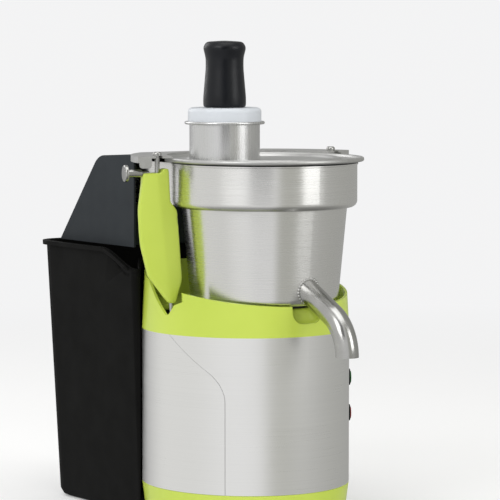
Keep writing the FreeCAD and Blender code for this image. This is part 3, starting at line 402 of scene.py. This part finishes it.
def soften_edges():
    """Moulded pieces have small rounds along their edges."""
    for node, width in EDGE_ROUNDS.items():
        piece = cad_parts[node]
        weld = piece.modifiers.new("weld", "WELD")
        weld.merge_threshold = MERGE_DISTANCE
        bevel = piece.modifiers.new("edge_rounds", "BEVEL")
        bevel.width = width
        bevel.segments = ROUND_SEGMENTS
        bevel.limit_method = "ANGLE"
        bevel.angle_limit = ROUND_ANGLE
        bevel.harden_normals = True


def soften_skins():
    """The levers and the grip are moulded with soft creases and well rounded edges."""
    for node, rounds in SOFT_SKINS.items():
        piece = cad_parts[node]
        skin = piece.modifiers.new("skin", "REMESH")
        skin.mode = "VOXEL"
        skin.voxel_size = SKIN_VOXEL
        skin.use_smooth_shade = True
        soft = piece.modifiers.new("soft", "SMOOTH")
        soft.factor = SKIN_FACTOR
        soft.iterations = rounds


def new_piece(name, shape, material):
    """Object of a mesh or a curve, with one material."""
    piece = bpy.data.objects.new(name, shape)
    bpy.context.scene.collection.objects.link(piece)
    shape.materials.clear()
    shape.materials.append(material)
    return piece


def mesh_of(work, name):
    """Turns a work mesh into a mesh and frees it."""
    mesh = bpy.data.meshes.new(name)
    work.to_mesh(mesh)
    work.free()
    return mesh


def round_curve(name, radius, resolution):
    """Curve with a round section."""
    curve = bpy.data.curves.new(name, "CURVE")
    curve.dimensions = "3D"
    curve.bevel_depth = radius
    curve.bevel_resolution = resolution
    return curve


def cone_radius(z):
    """Radius of the bowl's cone at a height."""
    share = (z - CONE_LOW_Z) / (CONE_TOP_Z - CONE_LOW_Z)
    return CONE_LOW_RADIUS + share * (CONE_TOP_RADIUS - CONE_LOW_RADIUS)


def weld_point(angle):
    """Where a line along the spout's skin meets the bowl's cone."""
    ahead = Vector((math.cos(SPOUT_SLOPE), 0.0, -math.sin(SPOUT_SLOPE)))
    up = Vector((math.sin(SPOUT_SLOPE), 0.0, math.cos(SPOUT_SLOPE)))
    side = Vector((0.0, 1.0, 0.0))
    skin = SPOUT_ROOT + SPOUT_RADIUS * (math.cos(angle) * up + math.sin(angle) * side)
    near = -SEARCH_REACH
    far = SEARCH_REACH
    for _ in range(SEARCH_ROUNDS):
        middle = (near + far) / 2.0
        point = skin + ahead * middle
        if math.hypot(point.x, point.y) < cone_radius(point.z):
            near = middle
        else:
            far = middle
    return skin + ahead * near


def spout_weld(material):
    """Rippled weld bead where the spout leaves the bowl."""
    curve = round_curve("spout_weld", WELD_RADIUS, WELD_RESOLUTION)
    count = WELD_RIPPLES * WELD_POINTS_PER_RIPPLE
    line = curve.splines.new("POLY")
    line.points.add(count - 1)
    line.use_cyclic_u = True
    for index, point in enumerate(line.points):
        angle = 2.0 * math.pi * index / count
        point.co = (*weld_point(angle), 1.0)
        point.radius = 1.0 + WELD_RIPPLE_DEPTH * math.cos(WELD_RIPPLES * angle)
    bead = new_piece("spout_weld", curve, material)
    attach(bead, "machine")


def recess_profile():
    """U of the recess where it meets the collar, as (across, height)."""
    low_centre = RECESS_LOW + RECESS_ROUND
    points = [(-RECESS_HALF, RECESS_TOP)]
    for step in range(RECESS_STEPS + 1):
        angle = QUARTER_TURN * step / RECESS_STEPS
        across = RECESS_HALF - RECESS_ROUND * (1.0 - math.cos(angle))
        points.append((-across, low_centre - RECESS_ROUND * math.sin(angle)))
    mirrored = [(-across, height) for across, height in reversed(points)]
    return points + mirrored


def recess_point(across, height, depth):
    """Place on the recess, from the collar's wall (depth 0) to its closed end (depth 1)."""
    wall = WALL_CENTRE_X + WALL_LENGTH * math.sqrt(1.0 - (across / WALL_WIDTH) ** 2)
    y = across * (1.0 - RECESS_NARROWING * depth ** 2)
    z = height + (RECESS_TOP - height) * depth ** 2
    return Vector((wall - RECESS_DEPTH * depth, y, z))


def spout_recess(material):
    """Scooped lime lining under the spout."""
    profile = recess_profile()
    work = bmesh.new()
    rows = []
    for row in range(RECESS_ROWS + 1):
        depth = row / RECESS_ROWS
        rows.append([work.verts.new(recess_point(across, height, depth)) for across, height in profile])
    for before, after in zip(rows, rows[1:]):
        for index in range(len(profile) - 1):
            work.faces.new((before[index], before[index + 1], after[index + 1], after[index]))
    bmesh.ops.remove_doubles(work, verts=work.verts, dist=MERGE_DISTANCE)
    bmesh.ops.recalc_face_normals(work, faces=work.faces)
    mesh = mesh_of(work, "spout_recess")
    mesh.shade_smooth()
    lining = new_piece("spout_recess", mesh, material)
    wall = lining.modifiers.new("wall", "SOLIDIFY")
    wall.thickness = RECESS_WALL
    wall.offset = RECESS_WALL_OFFSET
    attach(lining, "machine")


def recess_plan():
    """Outline of the bay seen from above, a little wider than the lining."""
    wide = RECESS_HALF + RECESS_FIT
    side = []
    for row in range(RECESS_ROWS + 1):
        depth = row / RECESS_ROWS
        place = recess_point(RECESS_HALF, RECESS_TOP, depth)
        side.append((place.x - RECESS_FIT * depth, place.y * wide / RECESS_HALF))
    front = side[0][0] + RECESS_DEPTH
    half = [(front, side[0][1])] + side
    return half + [(x, -y) for x, y in reversed(half)]


def recess_cutter():
    """Upright block that cuts the bay."""
    plan = recess_plan()
    work = bmesh.new()
    low = [work.verts.new((x, y, RECESS_LOW)) for x, y in plan]
    high = [work.verts.new((x, y, RECESS_TOP + RECESS_DEPTH)) for x, y in plan]
    work.faces.new(low)
    work.faces.new(high)
    for index in range(len(plan)):
        after = (index + 1) % len(plan)
        work.faces.new((low[index], low[after], high[after], high[index]))
    bmesh.ops.recalc_face_normals(work, faces=work.faces)
    cutter = bpy.data.objects.new("recess_cutter", mesh_of(work, "recess_cutter"))
    bpy.context.scene.collection.objects.link(cutter)
    return cutter


def recessed_deck(material):
    """The deck with a bay for the recess stands for the plain deck."""
    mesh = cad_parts["deck_plate"].data.copy()
    work = bmesh.new()
    work.from_mesh(mesh)
    bmesh.ops.remove_doubles(work, verts=work.verts, dist=MERGE_DISTANCE)
    work.to_mesh(mesh)
    work.free()
    deck = new_piece("recessed_deck", mesh, material)
    cutter = recess_cutter()
    bay = deck.modifiers.new("bay", "BOOLEAN")
    bay.operation = "DIFFERENCE"
    bay.solver = "EXACT"
    bay.object = cutter
    graph = bpy.context.evaluated_depsgraph_get()
    cut = bpy.data.meshes.new_from_object(deck.evaluated_get(graph))
    deck.modifiers.clear()
    deck.data = cut
    bpy.data.objects.remove(cutter)
    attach(deck, "machine")
    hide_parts("deck_plate")


def ramp(x, start, end):
    """Share of the way from start to end, held at 0 before and 1 after."""
    return min(1.0, max(0.0, (x - start) / (end - start)))


def rim_height(x):
    """Height of the rim along its sweep, which starts and ends level."""
    share = ramp(x, SWEEP_START, SWEEP_END)
    return BIN_TOP - SWEEP_DROP * share * share * (3.0 - 2.0 * share)


def plain_height(x):
    """Height of the plain edge that the shoulders stand on."""
    return BIN_TOP - PLAIN_DROP * ramp(x, PLAIN_START, PLAIN_END)


def shoulder_plan():
    """Middle line of the bin's wall in plan: along the side, round the nose and along the casing."""
    side = BIN_HALF - BIN_SKIN / 2.0
    turn_x = BIN_NOSE_X - BIN_NOSE_ROUND
    turn_y = side - BIN_NOSE_ROUND
    points = []
    for step in range(SHOULDER_STEPS):
        share = step / SHOULDER_STEPS
        points.append((SWEEP_START + share * (turn_x - SWEEP_START), side))
    for step in range(BIN_NOSE_STEPS + 1):
        angle = QUARTER_TURN * step / BIN_NOSE_STEPS
        x = turn_x + BIN_NOSE_ROUND * math.sin(angle)
        points.append((x, turn_y + BIN_NOSE_ROUND * math.cos(angle)))
    for step in range(BIN_CASING_FIRST_STEP, SHOULDER_STEPS + 1):
        share = step / SHOULDER_STEPS
        x = BIN_NOSE_X + share * (SWEEP_START - BIN_NOSE_X)
        reach = (x - WALL_CENTRE_X) / BIN_WALL_LENGTH
        points.append((x, BIN_WALL_WIDTH * math.sqrt(1.0 - reach * reach)))
    return points


def add_shoulder(work, side):
    """One wall that follows the plan, from the plain edge up to the sweeping rim."""
    plan = shoulder_plan()
    rings = []
    for index, (x, y) in enumerate(plan):
        before = plan[max(index - 1, 0)]
        after = plan[min(index + 1, len(plan) - 1)]
        along = Vector((after[0] - before[0], after[1] - before[1])).normalized()
        across = Vector((-along.y, along.x)) * (BIN_SKIN / 2.0)
        low = plain_height(x) - SHOULDER_OVERLAP
        high = max(rim_height(x), low + SHOULDER_OVERLAP)
        ring = []
        for sign, z in ((1, low), (1, high), (-1, high), (-1, low)):
            lean = BIN_DRAFT * (1.0 - z / BIN_TOP)
            ring.append(work.verts.new((x + sign * across.x, side * (y + sign * across.y - lean), z)))
        rings.append(ring)
    for before, after in zip(rings, rings[1:]):
        for index in range(len(before)):
            further = (index + 1) % len(before)
            work.faces.new((before[index], before[further], after[further], after[index]))
    work.faces.new(rings[0])
    work.faces.new(rings[-1])


def bin_shoulders(material):
    """Both shoulders, with small rounds along their edges."""
    work = bmesh.new()
    for side in (-1, 1):
        add_shoulder(work, side)
    bmesh.ops.recalc_face_normals(work, faces=work.faces)
    shoulders = new_piece("bin_shoulders", mesh_of(work, "bin_shoulders"), material)
    rounds = shoulders.modifiers.new("edge_rounds", "BEVEL")
    rounds.width = SHOULDER_ROUND
    rounds.segments = ROUND_SEGMENTS
    rounds.limit_method = "ANGLE"
    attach(shoulders, "pulp_bin")


def bin_rim(material):
    """Rolled rim along both sweeps, thinner at its lower end."""
    curve = round_curve("bin_rim", RIM_RADIUS, RIM_RESOLUTION)
    curve.use_fill_caps = True
    last = BIN_NOSE_X - BIN_NOSE_ROUND
    for side in (-1, 1):
        line = curve.splines.new("POLY")
        line.points.add(SHOULDER_STEPS)
        for index, point in enumerate(line.points):
            share = index / SHOULDER_STEPS
            x = SWEEP_START + share * (last - SWEEP_START)
            point.co = (x, side * (BIN_HALF + RIM_RADIUS), rim_height(x) - RIM_RADIUS, 1.0)
            point.radius = min(1.0, RIM_END_SHARE + RIM_TAPER * (1.0 - share))
    rim = new_piece("bin_rim", curve, material)
    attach(rim, "pulp_bin")


def floor_material():
    """Pale floor that turns into the backdrop with the distance from the machine."""
    settings = {"Roughness": FLOOR_ROUGHNESS, "Emission Color": PALE, "Emission Strength": FLOOR_GLOW}
    material, tree, shader = new_material("pale_floor", settings)
    tone = between(tree, noise(tree, STAGE_SCALE), PALE_DARK, PALE)
    tree.links.new(tone, shader.inputs["Base Color"])
    place = tree.nodes.new("ShaderNodeTexCoord")
    away = tree.nodes.new("ShaderNodeVectorMath")
    away.operation = "LENGTH"
    fade = tree.nodes.new("ShaderNodeMapRange")
    fade.inputs["From Min"].default_value = FADE_START
    fade.inputs["From Max"].default_value = FADE_END
    haze = tree.nodes.new("ShaderNodeEmission")
    haze.inputs["Color"].default_value = BACKDROP
    blend = tree.nodes.new("ShaderNodeMixShader")
    tree.links.new(place.outputs["Object"], away.inputs[0])
    tree.links.new(away.outputs["Value"], fade.inputs["Value"])
    tree.links.new(fade.outputs["Result"], blend.inputs["Fac"])
    tree.links.new(shader.outputs["BSDF"], blend.inputs[1])
    tree.links.new(haze.outputs["Emission"], blend.inputs[2])
    tree.links.new(blend.outputs["Shader"], tree.nodes["Material Output"].inputs["Surface"])
    return material


def floor():
    """Wide floor that is left out of reflections."""
    bpy.ops.mesh.primitive_plane_add(size=FLOOR_SIZE, location=(0.0, 0.0, 0.0))
    plane = bpy.context.object
    plane.name = "floor"
    plane.visible_glossy = False
    plane.data.materials.append(floor_material())


def studio_place(back, right, up):
    """Place so far towards the camera, to the right of its picture and up from the frame's origin."""
    return VIEW_BACK * back + VIEW_RIGHT * right + Vector((0.0, 0.0, up))


def dark_card():
    """Studio card before the feed tube and the grip, which shows only in reflections."""
    bpy.ops.mesh.primitive_plane_add(size=1.0)
    card = bpy.context.object
    card.name = "dark_card"
    card.location = studio_place(CARD_BACK, CARD_RIGHT, CARD_UP)
    card.rotation_euler = VIEW_BACK.to_track_quat("Z", "Y").to_euler()
    card.scale = (CARD_WIDTH, CARD_HEIGHT, 1.0)
    card.visible_camera = False
    card.visible_diffuse = False
    card.visible_shadow = False
    material, tree, shader = new_material("card_paper", {"Roughness": CARD_ROUGHNESS})
    tone = between(tree, noise(tree, STAGE_SCALE), CARD_DARK, CARD)
    tree.links.new(tone, shader.inputs["Base Color"])
    card.data.materials.append(material)


def soft_box(name, back, right, up, size, power, aim_up):
    """Area light aimed at the machine's axis at a height."""
    lamp = bpy.data.lights.new(name, "AREA")
    lamp.shape = "RECTANGLE"
    lamp.size = size[0]
    lamp.size_y = size[1]
    lamp.energy = power
    holder = bpy.data.objects.new(name, lamp)
    holder.location = studio_place(back, right, up)
    aim = Vector((0.0, 0.0, aim_up)) - holder.location
    holder.rotation_euler = aim.to_track_quat("-Z", "Y").to_euler()
    bpy.context.scene.collection.objects.link(holder)


def lights():
    for row in SOFT_BOXES:
        soft_box(*row)


def wall_colour(tree, direction):
    """Tone of the studio's walls by the angle round the machine."""
    turn = tree.nodes.new("ShaderNodeMapping")
    turn.inputs["Rotation"].default_value = (0.0, 0.0, math.atan2(-VIEW_BACK.y, VIEW_BACK.x))
    around = tree.nodes.new("ShaderNodeTexGradient")
    around.gradient_type = "RADIAL"
    walls = tree.nodes.new("ShaderNodeValToRGB")
    stops = walls.color_ramp.elements
    while len(stops) < len(WALL_TONES):
        stops.new(0.5)
    for stop, (degrees, tone, blue) in zip(stops, WALL_TONES):
        stop.position = 0.5 + degrees / 360.0
        stop.color = (tone, tone, tone * blue, 1.0)
    tree.links.new(direction, turn.inputs["Vector"])
    tree.links.new(turn.outputs["Vector"], around.inputs["Vector"])
    tree.links.new(around.outputs["Fac"], walls.inputs["Fac"])
    return walls.outputs["Color"]


def wall_share(tree, direction):
    """Share of a wall's tone that is left towards the floor."""
    parts = tree.nodes.new("ShaderNodeSeparateXYZ")
    below = tree.nodes.new("ShaderNodeMapRange")
    below.inputs["From Min"].default_value = DIM_LOW
    below.inputs["From Max"].default_value = DIM_HIGH
    below.inputs["To Min"].default_value = DIM_TONE
    tree.links.new(direction, parts.inputs["Vector"])
    tree.links.new(parts.outputs["Z"], below.inputs["Value"])
    return below.outputs["Result"]


def studio():
    """Walls that light the machine, and an even backdrop where the camera sees past it."""
    world = bpy.data.worlds.new("studio")
    world.use_nodes = True
    tree = world.node_tree
    direction = tree.nodes.new("ShaderNodeTexCoord").outputs["Generated"]
    dimmed = tree.nodes.new("ShaderNodeVectorMath")
    dimmed.operation = "SCALE"
    tree.links.new(wall_colour(tree, direction), dimmed.inputs[0])
    tree.links.new(wall_share(tree, direction), dimmed.inputs["Scale"])
    ray = tree.nodes.new("ShaderNodeLightPath")
    behind = tree.nodes.new("ShaderNodeMix")
    behind.data_type = "RGBA"
    ends = colours_among(behind.inputs)
    ends[1].default_value = BACKDROP
    tree.links.new(ray.outputs["Is Camera Ray"], behind.inputs["Factor"])
    tree.links.new(dimmed.outputs["Vector"], ends[0])
    tree.links.new(colours_among(behind.outputs)[0], tree.nodes["Background"].inputs["Color"])
    bpy.context.scene.world = world
    bpy.context.scene.view_settings.view_transform = "Standard"


def camera():
    lens = bpy.data.cameras.new("camera")
    lens.lens = CAMERA_LENS_MM
    lens.sensor_width = CAMERA_SENSOR_MM
    lens.clip_end = CAMERA_REACH
    holder = bpy.data.objects.new("camera", lens)
    holder.location = CAMERA_PLACE
    holder.rotation_euler = (CAMERA_TARGET - CAMERA_PLACE).to_track_quat("-Z", "Y").to_euler()
    bpy.context.scene.collection.objects.link(holder)
    bpy.context.scene.camera = holder


materials = make_materials()
paint_nodes(materials)
soften_edges()
soften_skins()
spout_weld(materials["bright"])
spout_recess(materials["lime"])
recessed_deck(materials["lime"])
bin_shoulders(materials["black"])
bin_rim(materials["black"])
floor()
dark_card()
lights()
studio()
camera()
